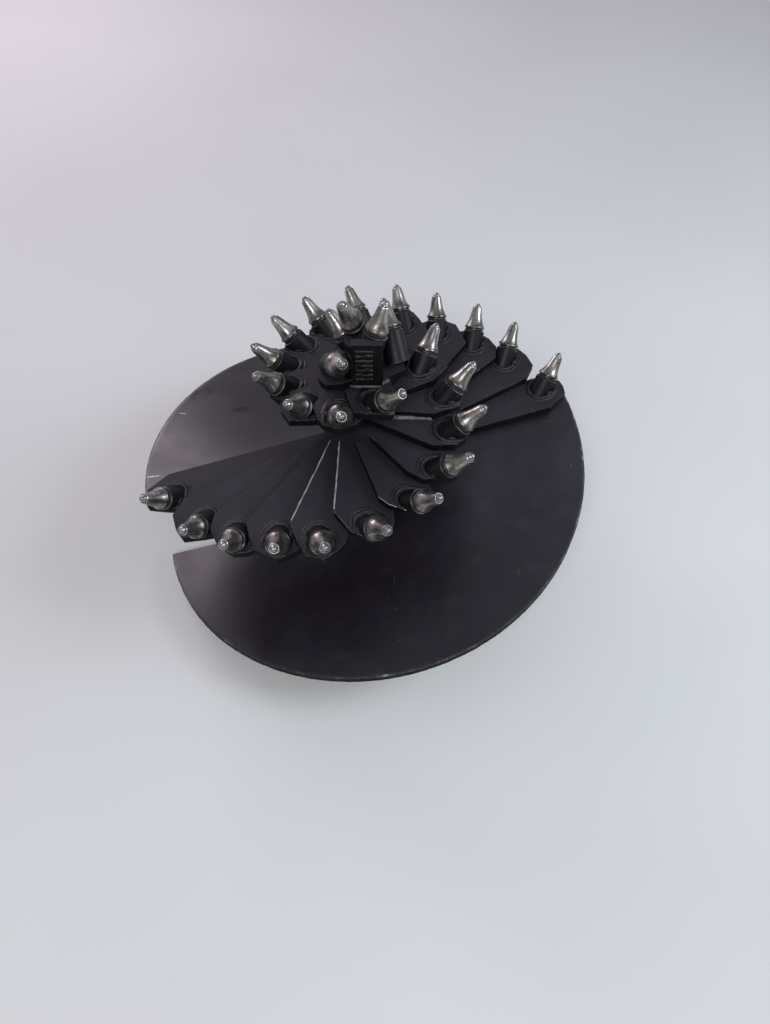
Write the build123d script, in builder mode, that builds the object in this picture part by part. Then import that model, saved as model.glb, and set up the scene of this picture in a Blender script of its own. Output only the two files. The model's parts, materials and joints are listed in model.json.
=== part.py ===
from build123d import *
import math
import os

# Rock auger for drilling piles and post holes in rock, standing on its drive end.
# Millimetres. The origin is on the axis of turning, at the drive end's face. +Z points
# from the drive end to the pilot, and +X is the direction that angles are counted from.
# The auger is two-start: whatever series "a" has, series "b" has again half a turn on.

FLIGHT_RADIUS = 400.0
FLIGHT_PITCH = 400.0
FLIGHT_SPAN = 184.0
FLIGHT_PLATE = 14.0

PIPE_RADIUS = 76.0
PIPE_WALL = 12.5
SOCKET_SQUARE = 75.0
SOCKET_DEPTH = 110.0
SOCKET_END = 20.0
PIN_RADIUS = 13.0
PIN_HEIGHT = 50.0
CAP_PLATE = 12.0

STEP_PLATE = 13.8
FIRST_STEP_TOP = 242.0
PIPE_STEPS = 8

BAR_SIDE = 58.0
BAR_CHAMFER = 8.0
BAR_ABOVE_STEPS = 66.6
PAD_WIDTH = 48.0
PAD_DEPTH = 14.0
PAD_ABOVE_STEPS = 83.0
RIDGE_COUNT = 7
RIDGE_PITCH = 9.4
RIDGE_WIDTH = 26.0
RIDGE_INSET = 15.0
RIDGE_RADIUS = 3.5
RIDGE_PROUD = 2.5

HEAD_LENGTH = 45.0
FLANGE_RADIUS = 19.0
FLANGE_HALF = 2.0
FLARE_RADIUS = 38.0
NECK_RADIUS = 9.6
NECK_START = 26.0
NECK_END_RADIUS = 7.8
NECK_END = 38.5
BUTTON_RADIUS = 5.6
BUTTON_START = 40.5
GROOVE_RADIUS = 15.0
GROOVE_WIDTH = 1.0
WASHER_RADIUS = 17.5
WASHER_WIDTH = 3.5
SHANK_RADIUS = 10.0
SHANK_LENGTH = 50.0

HOLDER_RADIUS = 20.0
HOLDER_LENGTH = 52.0
HOLDER_CHAMFER = 2.0

SHANK_CLEARANCE = 0.05
FACE_CLEARANCE = 0.3
WELD_GAP = 0.3
HEAD_CLEARANCE = 5.0

# Where the cutting direction of a pick points: outward, round, up.
SPIRAL_AIM = (0.595, 0.334, 0.73)
INNER_AIM = (0.35, 0.64, 0.68)
PILOT_AIM = (0.16, 0.37, 0.91)
SPIRAL_STAND = 18.0
INNER_STAND = 45.0
PILOT_STAND = 86.6

# The teeth of one start, from the rim in: radius of the flange, angle round the axis.
SPIRAL_TEETH = [
    (373, 23),
    (345, 38),
    (322, 50),
    (293, 63),
    (276, 77),
    (252, 95),
    (228, 114),
    (203, 133),
    (177, 156),
    (152, 180),
    (123, 212),
    (106, 250),
    (85, 296),
    (58, 407.5),
]
PILOT_TOOTH = (22.5, 153)

# Outline of each step plate, seen from the pilot, in a row for each tooth. The tooth's
# radial line is the centre line. "Behind" is clockwise of it and "ahead" is the other
# side. The shoulder, corner and nose are counted outward from the tooth's radius.
# behind, shoulder, corner, corner behind, nose, nose behind, ahead
STEP_OUTLINES = [
    (60, -25, 17, 40, 23, 22, 18),
    (74, -20, 14, 57, 23, 30, 18),
    (70, -25, 0, 55, 10, 30, 31),
    (74, -22, 2, 50, 16, 35, 31),
    (64, -34, -1, 39, 16, 23, 31),
    (65, -50, -10, 40, 4, 15, 27),
    (56, -46, -27, 47, 6, 16, 27),
    (51, -48, -21, 44, 9, 8, 27),
    (53, -34, -1, 37, 9, 18, 27),
    (51, -39, 4, 30, 8, 20, 27),
    (50, -21, 16, 37, 21, 24, 27),
    (57, -22, 3, 38, 10, 24, 27),
    (54, -14, 3, 25, 14, 6, 27),
    (52, -18, 9, 38, 13, 28, 8),
]
STEP_ROOT_BEHIND = 42.0
STEP_NOSE_SPAN = 24.0
STEP_AHEAD_BACK = 22.0
STEP_BEVEL_BACK = 7.0
STEP_BEVEL_DROP = 7.0

STEPS = len(SPIRAL_TEETH)
LAST_STEP_TOP = FIRST_STEP_TOP + STEP_PLATE * (STEPS - 1)
PIPE_TOP = FIRST_STEP_TOP + STEP_PLATE * (PIPE_STEPS - 1)
BAR_TOP = LAST_STEP_TOP + BAR_ABOVE_STEPS
BUTTON_RISE = HEAD_LENGTH - BUTTON_START
BUTTON_DOME = (BUTTON_RADIUS**2 + BUTTON_RISE**2) / (2 * BUTTON_RISE)
WASHER_BACK = FLANGE_HALF + GROOVE_WIDTH + WASHER_WIDTH
HOLDER_FRONT = WASHER_BACK + FACE_CLEARANCE
HOLDER_REAR = HOLDER_FRONT + HOLDER_LENGTH
STARTS = {"a": 0.0, "b": 180.0}
# Steps this near in the stack are crossed by each other's holders.
SEAT_REACH = 3
# Steps from this one up have their teeth right beside the pilot bar.
FIRST_STEP_AT_BAR = 12
# Degrees by which a flight's end stays back from the first tooth.
FLIGHT_LEAD_BACK = 3


def step_top(step):
    """Height of the upper face of a step plate, counted from 1 at the rim."""
    return FIRST_STEP_TOP + STEP_PLATE * (step - 1)


def tooth_plane(radius, angle, height, aim):
    """Plane at a pick's flange, with its Z along the pick towards the tip."""
    turn = math.radians(angle)
    outward = Vector(math.cos(turn), math.sin(turn), 0)
    around = Vector(-math.sin(turn), math.cos(turn), 0)
    direction = outward * aim[0] + around * aim[1] + Vector(0, 0, aim[2])
    return Plane(origin=outward * radius + Vector(0, 0, height), x_dir=outward - direction
                 * (outward.dot(direction) / direction.dot(direction)), z_dir=direction)


def spiral_tooth(step, turn):
    """Plane of the tooth that stands on a step plate."""
    radius, angle = SPIRAL_TEETH[step - 1]
    aim, stand = (INNER_AIM, INNER_STAND) if step == STEPS else (SPIRAL_AIM, SPIRAL_STAND)
    return tooth_plane(radius, angle + turn, step_top(step) + stand, aim)


def pilot_tooth(turn):
    """Plane of a tooth on top of the pilot bar."""
    radius, angle = PILOT_TOOTH
    return tooth_plane(radius, angle + turn, LAST_STEP_TOP + PILOT_STAND, PILOT_AIM)


TEETH = {}
for start, turn in STARTS.items():
    for step in range(1, STEPS + 1):
        TEETH[f"{start}{step:02d}"] = spiral_tooth(step, turn)
    TEETH[f"pilot_{start}"] = pilot_tooth(turn)

parts = []


def keep(builder, name):
    """Label a finished piece and write it."""
    builder.part.label = name
    parts.append(builder.part)
    export_step(builder.part, f"parts/{name}.step")


def seat(plane):
    """Room for a holder and for the head of its pick, taken out of what carries it."""
    with BuildPart() as room:
        with BuildSketch(plane.offset(-HOLDER_REAR - WELD_GAP)):
            Circle(HOLDER_RADIUS + WELD_GAP)
        extrude(amount=HOLDER_REAR + WELD_GAP - WASHER_BACK)
        with BuildSketch(plane.offset(-WASHER_BACK)):
            Circle(FLANGE_RADIUS + HEAD_CLEARANCE)
        extrude(amount=WASHER_BACK + HEAD_LENGTH + HEAD_CLEARANCE)
    return room.part


SEATS = {tooth: seat(plane) for tooth, plane in TEETH.items()}

os.makedirs("parts", exist_ok=True)

# Picks: the head with its button, the flange, the wear washer and the shank are turned
# in one, and the pick is free to turn in its holder.
with BuildPart() as turned_pick:
    with BuildSketch(Plane.XZ):
        with BuildLine():
            Polyline(
                (0, -SHANK_LENGTH),
                (SHANK_RADIUS, -SHANK_LENGTH),
                (SHANK_RADIUS, -WASHER_BACK),
                (WASHER_RADIUS, -WASHER_BACK),
                (WASHER_RADIUS, -FLANGE_HALF - GROOVE_WIDTH),
                (GROOVE_RADIUS, -FLANGE_HALF - GROOVE_WIDTH),
                (GROOVE_RADIUS, -FLANGE_HALF),
                (FLANGE_RADIUS, -FLANGE_HALF),
                (FLANGE_RADIUS, FLANGE_HALF),
            )
            RadiusArc((FLANGE_RADIUS, FLANGE_HALF), (NECK_RADIUS, NECK_START), FLARE_RADIUS)
            Polyline(
                (NECK_RADIUS, NECK_START),
                (NECK_END_RADIUS, NECK_END),
                (BUTTON_RADIUS, BUTTON_START),
            )
            RadiusArc((BUTTON_RADIUS, BUTTON_START), (0, HEAD_LENGTH), -BUTTON_DOME)
            Line((0, HEAD_LENGTH), (0, -SHANK_LENGTH))
        make_face()
    revolve(axis=Axis.Z)
for tooth, plane in TEETH.items():
    with BuildPart() as pick:
        add(turned_pick.part.moved(plane.location))
    keep(pick, f"pick_{tooth}")

# Holders: turned and bored, one set for each start and one pair on the pilot bar.
with BuildPart() as turned_holder:
    with BuildSketch(Plane.XZ):
        with BuildLine():
            Polyline(
                (SHANK_RADIUS + SHANK_CLEARANCE, -HOLDER_REAR),
                (HOLDER_RADIUS, -HOLDER_REAR),
                (HOLDER_RADIUS, -HOLDER_FRONT - HOLDER_CHAMFER),
                (HOLDER_RADIUS - HOLDER_CHAMFER, -HOLDER_FRONT),
                (SHANK_RADIUS + SHANK_CLEARANCE, -HOLDER_FRONT),
                close=True,
            )
        make_face()
    revolve(axis=Axis.Z)
for group in ("a", "b", "pilot"):
    with BuildPart() as holders:
        for tooth, plane in TEETH.items():
            if tooth.startswith(group):
                add(turned_holder.part.moved(plane.location))
    keep(holders, f"holders_{group}")

# Step plates: the two tongues of one level share a node, and each level lies on the last.
for step in range(1, STEPS + 1):
    radius, angle = SPIRAL_TEETH[step - 1]
    behind, shoulder, corner, corner_behind, nose, nose_behind, ahead = STEP_OUTLINES[step - 1]
    with BuildPart() as level:
        for turn in STARTS.values():
            base = Plane(origin=(0, 0, step_top(step) - STEP_PLATE), z_dir=(0, 0, 1),
                         x_dir=Vector(1, 0, 0).rotate(Axis.Z, angle + turn))
            with BuildSketch(base):
                with BuildLine():
                    Polyline(
                        (WELD_GAP / 2, -STEP_ROOT_BEHIND),
                        (radius + shoulder, -behind),
                        (radius + corner, -corner_behind),
                        (radius + nose, -nose_behind),
                        (radius + nose, ahead - STEP_NOSE_SPAN),
                        (radius - STEP_BEVEL_BACK, ahead - STEP_BEVEL_DROP),
                        (radius - STEP_AHEAD_BACK, ahead),
                        (WELD_GAP / 2, ahead),
                        close=True,
                    )
                make_face()
            extrude(amount=STEP_PLATE)
        with BuildSketch(Plane.XY.offset(step_top(step) - STEP_PLATE)):
            if step <= PIPE_STEPS:
                Circle(PIPE_RADIUS + WELD_GAP)
            else:
                Rectangle(BAR_SIDE, BAR_SIDE)
        extrude(amount=STEP_PLATE, mode=Mode.SUBTRACT)
        for near in range(max(step - SEAT_REACH, 1), min(step + SEAT_REACH, STEPS) + 1):
            for start in STARTS:
                add(SEATS[f"{start}{near:02d}"], mode=Mode.SUBTRACT)
    keep(level, f"step_{step:02d}")

# Flights: half-turn screw plates that rise to the underside of the first steps.
lead_angle = SPIRAL_TEETH[0][1] - FLIGHT_LEAD_BACK
rise = FLIGHT_PITCH * FLIGHT_SPAN / 360
foot = FIRST_STEP_TOP - STEP_PLATE - FACE_CLEARANCE - FLIGHT_PLATE - rise
for start, turn in STARTS.items():
    with BuildPart() as flight:
        with BuildLine() as rim:
            Helix(pitch=FLIGHT_PITCH, height=rise, radius=FLIGHT_RADIUS, center=(0, 0, foot))
        section = Plane(origin=(0, 0, foot), x_dir=(1, 0, 0), z_dir=(0, -1, 0))
        with BuildSketch(section):
            with Locations(((FLIGHT_RADIUS + PIPE_RADIUS + WELD_GAP) / 2, FLIGHT_PLATE / 2)):
                Rectangle(FLIGHT_RADIUS - PIPE_RADIUS - WELD_GAP, FLIGHT_PLATE)
        sweep(path=rim.line, is_frenet=True)
    turned = flight.part.rotate(Axis.Z, lead_angle - FLIGHT_SPAN + turn)
    with BuildPart() as seated_flight:
        add(turned)
        for near in (1, 2):
            add(SEATS[f"{start}{near:02d}"], mode=Mode.SUBTRACT)
    keep(seated_flight, f"flight_{start}")

# Centre pipe, from the drive end to the underside of the steps that cross the axis.
with BuildPart() as centre_pipe:
    with BuildSketch():
        Circle(PIPE_RADIUS)
        Circle(PIPE_RADIUS - PIPE_WALL, mode=Mode.SUBTRACT)
    extrude(amount=PIPE_TOP)
    with BuildSketch(Plane.XZ):
        with Locations((0, PIN_HEIGHT)):
            Circle(PIN_RADIUS)
    extrude(amount=PIPE_RADIUS, both=True, mode=Mode.SUBTRACT)
keep(centre_pipe, "centre_pipe")

# Drive socket: a square bore for the drive shaft, with a pin hole across it, and the
# plate that ends it.
with BuildPart() as socket_end:
    with BuildSketch(Plane.XY.offset(SOCKET_DEPTH)):
        Circle(PIPE_RADIUS - PIPE_WALL)
    extrude(amount=SOCKET_END)
keep(socket_end, "socket_end")
with BuildPart() as drive_socket:
    with BuildSketch():
        Circle(PIPE_RADIUS - PIPE_WALL)
        Rectangle(SOCKET_SQUARE, SOCKET_SQUARE, mode=Mode.SUBTRACT)
    extrude(amount=SOCKET_DEPTH)
    with BuildSketch(Plane.XZ):
        with Locations((0, PIN_HEIGHT)):
            Circle(PIN_RADIUS)
    extrude(amount=PIPE_RADIUS, both=True, mode=Mode.SUBTRACT)
keep(drive_socket, "drive_socket")

# Cap plate inside the top of the pipe, under the pilot bar.
with BuildPart() as cap_plate:
    with BuildSketch(Plane.XY.offset(PIPE_TOP - CAP_PLATE)):
        Circle(PIPE_RADIUS - PIPE_WALL)
    extrude(amount=CAP_PLATE)
keep(cap_plate, "cap_plate")

# Pad: stands on one face of the pilot bar, beside a pilot holder, with hard ridges built
# up across its middle.
with BuildPart() as pad:
    middle = LAST_STEP_TOP + PAD_ABOVE_STEPS / 2
    with BuildSketch(Plane.YZ.offset(BAR_SIDE / 2)):
        with Locations((-(BAR_SIDE + PAD_DEPTH) / 2, middle)):
            Rectangle(PAD_DEPTH, PAD_ABOVE_STEPS)
    extrude(amount=-PAD_WIDTH)
    with BuildSketch(Plane.YZ.offset(BAR_SIDE / 2 - RIDGE_INSET)):
        with Locations((-BAR_SIDE / 2 - PAD_DEPTH + RIDGE_RADIUS - RIDGE_PROUD, middle)):
            with GridLocations(0, RIDGE_PITCH, 1, RIDGE_COUNT):
                Circle(RIDGE_RADIUS)
    extrude(amount=-RIDGE_WIDTH)

# Pilot bar: it stands on the cap plate, passes up through the last steps and carries
# the two pilot holders in its top.
with BuildPart() as pilot_bar:
    with BuildSketch(Plane.XY.offset(PIPE_TOP)):
        Rectangle(BAR_SIDE, BAR_SIDE)
    extrude(amount=BAR_TOP - PIPE_TOP)
    upright = pilot_bar.edges().filter_by(Axis.Z)
    chamfer(upright, BAR_CHAMFER)
    add(pad.part)
    for tooth in TEETH:
        if tooth.startswith("pilot") or int(tooth[1:]) >= FIRST_STEP_AT_BAR:
            add(SEATS[tooth], mode=Mode.SUBTRACT)
keep(pilot_bar, "pilot_bar")
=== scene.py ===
import json
import math
import random

import bmesh
import bpy
from mathutils import Matrix, Vector, noise
from mathutils.bvhtree import BVHTree


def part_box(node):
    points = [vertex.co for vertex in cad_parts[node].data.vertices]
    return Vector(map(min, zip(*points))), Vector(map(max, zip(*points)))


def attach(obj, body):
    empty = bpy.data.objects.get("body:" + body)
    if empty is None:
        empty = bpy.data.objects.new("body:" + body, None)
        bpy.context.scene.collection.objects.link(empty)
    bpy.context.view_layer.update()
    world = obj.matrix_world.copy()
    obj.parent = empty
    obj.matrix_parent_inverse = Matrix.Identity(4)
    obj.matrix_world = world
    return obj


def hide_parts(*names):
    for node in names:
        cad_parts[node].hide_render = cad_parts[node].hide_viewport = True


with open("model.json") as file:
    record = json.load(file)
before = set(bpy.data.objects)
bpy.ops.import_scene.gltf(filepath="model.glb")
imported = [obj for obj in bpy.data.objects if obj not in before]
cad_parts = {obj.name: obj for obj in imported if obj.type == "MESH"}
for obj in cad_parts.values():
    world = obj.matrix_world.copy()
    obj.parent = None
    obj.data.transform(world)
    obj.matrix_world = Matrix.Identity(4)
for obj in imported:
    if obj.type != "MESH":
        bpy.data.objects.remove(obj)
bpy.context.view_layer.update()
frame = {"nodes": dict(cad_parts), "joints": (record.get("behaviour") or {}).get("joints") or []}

# Rock auger in metres: origin on its axis at the drive end's face, +Z to the pilot.
# Teeth, plates and pipe are read from the frame, and the rest is sized from them.

MM = 0.001
UP = Vector((0, 0, 1))
ROOT = "auger"
random.seed(7)


class Tooth:
    """Where a pick stands: its flange's centre, its axis and its place round the auger."""

    def __init__(self, number, joint):
        self.number = number
        self.node = joint["child"]
        self.key = self.node[len("pick_"):]
        self.flange = Vector(joint["pos_m"])
        self.aim = Vector(joint["axis"]).normalized()
        self.angle = math.atan2(self.flange.y, self.flange.x)

    def matrix(self):
        """Frame with its Z along the pick and its origin at the flange."""
        turn = UP.rotation_difference(self.aim).to_matrix().to_4x4()
        return Matrix.Translation(self.flange) @ turn


TEETH = [Tooth(number, joint) for number, joint in enumerate(frame["joints"])]
STEPS = sorted(name for name in frame["nodes"] if name.startswith("step_"))
HUB_NODES = ["centre_pipe", "drive_socket", "socket_end", "cap_plate"]
# The CAD nodes of the holders, and how the keys of their teeth begin.
HOLDER_GROUPS = {"holders_a": "a", "holders_b": "b", "holders_pilot": "pilot"}

PIPE_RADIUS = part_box("centre_pipe")[1].x
LAST_STEP_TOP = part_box("step_14")[1].z


def teeth_of(group):
    """The teeth whose holders are in one group."""
    return [tooth for tooth in TEETH if tooth.key.startswith(group)]


# Node material helpers

def new_material(name):
    """A node material, with its tree and its shader."""
    material = bpy.data.materials.new(name)
    material.use_nodes = True
    shader = material.node_tree.nodes["Principled BSDF"]
    return material, material.node_tree, shader


def coordinates(tree, stretch):
    """Object coordinates, multiplied by stretch."""
    place = tree.nodes.new("ShaderNodeTexCoord")
    mapping = tree.nodes.new("ShaderNodeMapping")
    mapping.inputs["Scale"].default_value = stretch
    tree.links.new(place.outputs["Object"], mapping.inputs["Vector"])
    return mapping.outputs["Vector"]


def noise_field(tree, scale, detail=3.0, roughness=0.5, stretch=(1, 1, 1)):
    """A noise texture's value."""
    texture = tree.nodes.new("ShaderNodeTexNoise")
    texture.inputs["Scale"].default_value = scale
    texture.inputs["Detail"].default_value = detail
    texture.inputs["Roughness"].default_value = roughness
    tree.links.new(coordinates(tree, stretch), texture.inputs["Vector"])
    return texture.outputs["Fac"]


def ramp(tree, value, stops):
    """Colours by value: stops are (position, colour)."""
    node = tree.nodes.new("ShaderNodeValToRGB")
    elements = node.color_ramp.elements
    while len(elements) < len(stops):
        elements.new(0.5)
    for element, (position, colour) in zip(elements, stops):
        element.position = position
        element.color = (*colour, 1.0)
    tree.links.new(value, node.inputs["Fac"])
    return node.outputs["Color"]


def spread(tree, value, low, high, out_low, out_high):
    """Map a value's range to another, clamped."""
    node = tree.nodes.new("ShaderNodeMapRange")
    for socket, number in (("From Min", low), ("From Max", high),
                           ("To Min", out_low), ("To Max", out_high)):
        node.inputs[socket].default_value = number
    tree.links.new(value, node.inputs["Value"])
    return node.outputs["Result"]


def patches(tree, scale, low, high, amount, **texture):
    """Noise as a mask: 0 where it is under low, rising to amount where it is over high."""
    return spread(tree, noise_field(tree, scale, **texture), low, high, 0.0, amount)


def mix_colour(tree, factor, first, second):
    """Mix two colours, each a socket or a plain colour, by a factor socket."""
    node = tree.nodes.new("ShaderNodeMix")
    node.data_type = "RGBA"
    tree.links.new(factor, node.inputs["Factor"])
    for name, colour in (("A", first), ("B", second)):
        target = [s for s in node.inputs if s.name == name and s.type == "RGBA"][0]
        if isinstance(colour, bpy.types.NodeSocket):
            tree.links.new(colour, target)
        else:
            target.default_value = (*colour, 1.0)
    return [s for s in node.outputs if s.type == "RGBA"][0]


def multiply(tree, first, second):
    """Product of two values."""
    node = tree.nodes.new("ShaderNodeMath")
    node.operation = "MULTIPLY"
    tree.links.new(first, node.inputs[0])
    tree.links.new(second, node.inputs[1])
    return node.outputs["Value"]


def bump(tree, shader, fields):
    """Chain bumps: fields are (value socket, strength, distance)."""
    normal = None
    for value, strength, distance in fields:
        node = tree.nodes.new("ShaderNodeBump")
        node.inputs["Strength"].default_value = strength
        node.inputs["Distance"].default_value = distance
        tree.links.new(value, node.inputs["Height"])
        if normal is not None:
            tree.links.new(normal, node.inputs["Normal"])
        normal = node.outputs["Normal"]
    tree.links.new(normal, shader.inputs["Normal"])


def height_along(tree):
    """The Z of object coordinates."""
    place = tree.nodes.new("ShaderNodeTexCoord")
    split = tree.nodes.new("ShaderNodeSeparateXYZ")
    tree.links.new(place.outputs["Object"], split.inputs["Vector"])
    return split.outputs["Z"]


def spot_mask(tree, at, size, turn):
    """1 inside a soft ellipsoid at a place on the auger, 0 outside."""
    place = tree.nodes.new("ShaderNodeTexCoord")
    mapping = tree.nodes.new("ShaderNodeMapping")
    mapping.vector_type = "TEXTURE"
    mapping.inputs["Location"].default_value = at
    mapping.inputs["Rotation"].default_value = (0, 0, math.radians(turn))
    mapping.inputs["Scale"].default_value = size
    tree.links.new(place.outputs["Object"], mapping.inputs["Vector"])
    length = tree.nodes.new("ShaderNodeVectorMath")
    length.operation = "LENGTH"
    tree.links.new(mapping.outputs["Vector"], length.inputs[0])
    return spread(tree, length.outputs["Value"], 0.5, 1.0, 1.0, 0.0)


# Black paint

DUST = (0.050, 0.046, 0.049)
SCRATCH = (0.17, 0.16, 0.165)
SPECK = (0.12, 0.11, 0.11)
# Grime's tone as a share of the paint's dark one.
GRIME_SHADE = 0.55
# Noise scale and stretch of the two families of scratches, along X and along Y.
SCRATCHES = ((7.0, (1.0, 46.0, 46.0)), (8.0, (40.0, 1.3, 40.0)))

PALE_SCUFF = (0.55, 0.52, 0.54)
# Dark, dull patches laid at given places on the flights.
DARK_PATCH = (0.008, 0.008, 0.009)
# How a mark's outline frays: noise scale, detail, and the range from bare to full.
PALE_FRAY = (240.0, 3.0, 0.36, 0.52)
DARK_PATCH_FRAY = (60.0, 4.0, 0.30, 0.62)
# Share of the paint's shine that is left in the middle of a dark patch.
DARK_PATCH_SHINE = 0.50
# Single marks on the flights, pale scuffs and dark, dull patches: place, size, turn in degrees
# and colour.
FLIGHT_MARKS = [
    ((-0.380, -0.0665, 0.217), (0.015, 0.0022, 0.03), 7, PALE_SCUFF),
    ((-0.361, 0.1117, 0.187), (0.010, 0.0017, 0.03), -9, PALE_SCUFF),
    ((-0.338, 0.176, 0.175), (0.036, 0.022, 0.03), 35, DARK_PATCH),
    ((-0.254, 0.132, 0.175), (0.024, 0.012, 0.03), 22, DARK_PATCH),
    ((-0.044, -0.166, 0.089), (0.006, 0.005, 0.03), 0, DARK_PATCH),
]


def add_marks(tree, shader, colour, mark_list, shine):
    """Lay single marks over the paint's colour; the dark ones are dull too."""
    gloss = None
    for at, size, turn, tone in mark_list:
        scale, detail, low, high = DARK_PATCH_FRAY if tone == DARK_PATCH else PALE_FRAY
        mask = multiply(tree, spot_mask(tree, at, size, turn),
                        patches(tree, scale, low, high, 1.0, detail=detail))
        colour = mix_colour(tree, mask, colour, tone)
        if tone == DARK_PATCH:
            left = spread(tree, mask, 0.0, 1.0, 1.0, DARK_PATCH_SHINE)
            gloss = left if gloss is None else multiply(tree, gloss, left)
    if gloss is not None:
        tree.links.new(spread(tree, gloss, 0.0, 1.0, 0.0, shine),
                       shader.inputs["Specular IOR Level"])
    return colour


def black_paint(name, dark, light, rough_low, rough_high, shine=0.5, grime=0.55, mark_list=()):
    """Satin black paint over hot rolled plate: blotched, dusty, with fine pale scratches."""
    material, tree, shader = new_material(name)
    blotch = noise_field(tree, 4.0, detail=6.0, roughness=0.6)
    colour = ramp(tree, blotch, [(0.34, dark), (0.66, light)])
    smudge = patches(tree, 1.7, 0.46, 0.62, grime)
    colour = mix_colour(tree, smudge, colour, tuple(GRIME_SHADE * part for part in dark))
    dust = patches(tree, 24.0, 0.52, 0.72, 0.20, detail=8.0, roughness=0.7)
    colour = mix_colour(tree, dust, colour, DUST)
    for scale, stretch in SCRATCHES:
        line = patches(tree, scale, 0.735, 0.765, 0.30, detail=2.0, stretch=stretch)
        zone = patches(tree, 3.1 + scale, 0.50, 0.60, 1.0, detail=2.0)
        colour = mix_colour(tree, multiply(tree, line, zone), colour, SCRATCH)
    specks = patches(tree, 210.0, 0.74, 0.80, 0.5, detail=2.0)
    colour = mix_colour(tree, specks, colour, SPECK)
    shader.inputs["Specular IOR Level"].default_value = shine
    colour = add_marks(tree, shader, colour, mark_list, shine)
    tree.links.new(colour, shader.inputs["Base Color"])
    sheen = noise_field(tree, 9.0, detail=7.0, roughness=0.65)
    tree.links.new(spread(tree, sheen, 0.32, 0.68, rough_low, rough_high),
                   shader.inputs["Roughness"])
    bump(tree, shader, [(noise_field(tree, 38.0, detail=5.0), 0.16, 0.0006),
                        (noise_field(tree, 700.0), 0.09, 0.0002)])
    return material


# Edges, welds, steel and the floor

BARE_STEEL = (0.46, 0.43, 0.43)
WORN_PAINT = (0.080, 0.075, 0.080)
EDGE_PAINT = (0.014, 0.013, 0.016)
# The flame-cut faces are coloured near black: painted shade for the risers standing in shadow,
# over the cut's own dark tone.
CUT_SHADED_DARK = (0.0016, 0.0015, 0.0019)
CUT_SHADED_LIGHT = (0.0062, 0.0058, 0.0070)
CUT_RUST = (0.026, 0.018, 0.015)
CUT_SHINE = 0.16
FORGED = [(0.32, (0.15, 0.138, 0.125)), (0.50, (0.31, 0.295, 0.275)),
          (0.68, (0.50, 0.485, 0.46))]
MILL_SCALE = (0.080, 0.066, 0.055)
FLANGE_DARK = (0.05, 0.043, 0.037)
BRIGHT_TIP = (0.52, 0.51, 0.49)
CARBIDE = [(0.3, (0.16, 0.16, 0.165)), (0.7, (0.40, 0.40, 0.41))]
FLOOR = [(0.3, (0.60, 0.60, 0.595)), (0.7, (0.64, 0.64, 0.635))]


def worn_edge(name, worn_from):
    """Paint worn thin along a plate's edge, where bare steel starts to show."""
    material, tree, shader = new_material(name)
    wear = noise_field(tree, 42.0, detail=7.0, roughness=0.65)
    colour = ramp(tree, wear, [(worn_from, EDGE_PAINT), (worn_from + 0.12, WORN_PAINT),
                               (worn_from + 0.26, BARE_STEEL)])
    tree.links.new(colour, shader.inputs["Base Color"])
    tree.links.new(spread(tree, wear, worn_from, worn_from + 0.3, 0.44, 0.30),
                   shader.inputs["Roughness"])
    tree.links.new(spread(tree, wear, worn_from + 0.1, worn_from + 0.3, 0.0, 0.35),
                   shader.inputs["Metallic"])
    bump(tree, shader, [(noise_field(tree, 300.0), 0.25, 0.0004)])
    return material


def shaded_flame_cut(name):
    """Rough flame-cut edge under paint: drag lines that run through the plate, coloured near
    black as painted shade on the risers.
    """
    material, tree, shader = new_material(name)
    drag = noise_field(tree, 260.0, detail=2.0, stretch=(1.0, 1.0, 0.08))
    slag = noise_field(tree, 70.0, detail=4.0)
    colour = ramp(tree, drag, [(0.35, CUT_SHADED_DARK), (0.70, CUT_SHADED_LIGHT)])
    rust = patches(tree, 18.0, 0.62, 0.74, 0.4, detail=5.0)
    colour = mix_colour(tree, rust, colour, CUT_RUST)
    tree.links.new(colour, shader.inputs["Base Color"])
    tree.links.new(spread(tree, slag, 0.3, 0.7, 0.55, 0.8), shader.inputs["Roughness"])
    shader.inputs["Specular IOR Level"].default_value = CUT_SHINE
    bump(tree, shader, [(drag, 0.7, 0.0010), (slag, 0.4, 0.0012)])
    return material


def weld_metal(name, dark, light, rough, shine=0.5):
    """Weld bead, painted or left nearly bare."""
    material, tree, shader = new_material(name)
    shader.inputs["Specular IOR Level"].default_value = shine
    colour = ramp(tree, noise_field(tree, 40.0, detail=5.0, roughness=0.6),
                  [(0.32, dark), (0.68, light)])
    tree.links.new(colour, shader.inputs["Base Color"])
    tree.links.new(spread(tree, noise_field(tree, 80.0), 0.3, 0.7, rough, rough + 0.18),
                   shader.inputs["Roughness"])
    bump(tree, shader, [(noise_field(tree, 420.0), 0.3, 0.0004)])
    return material


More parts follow.
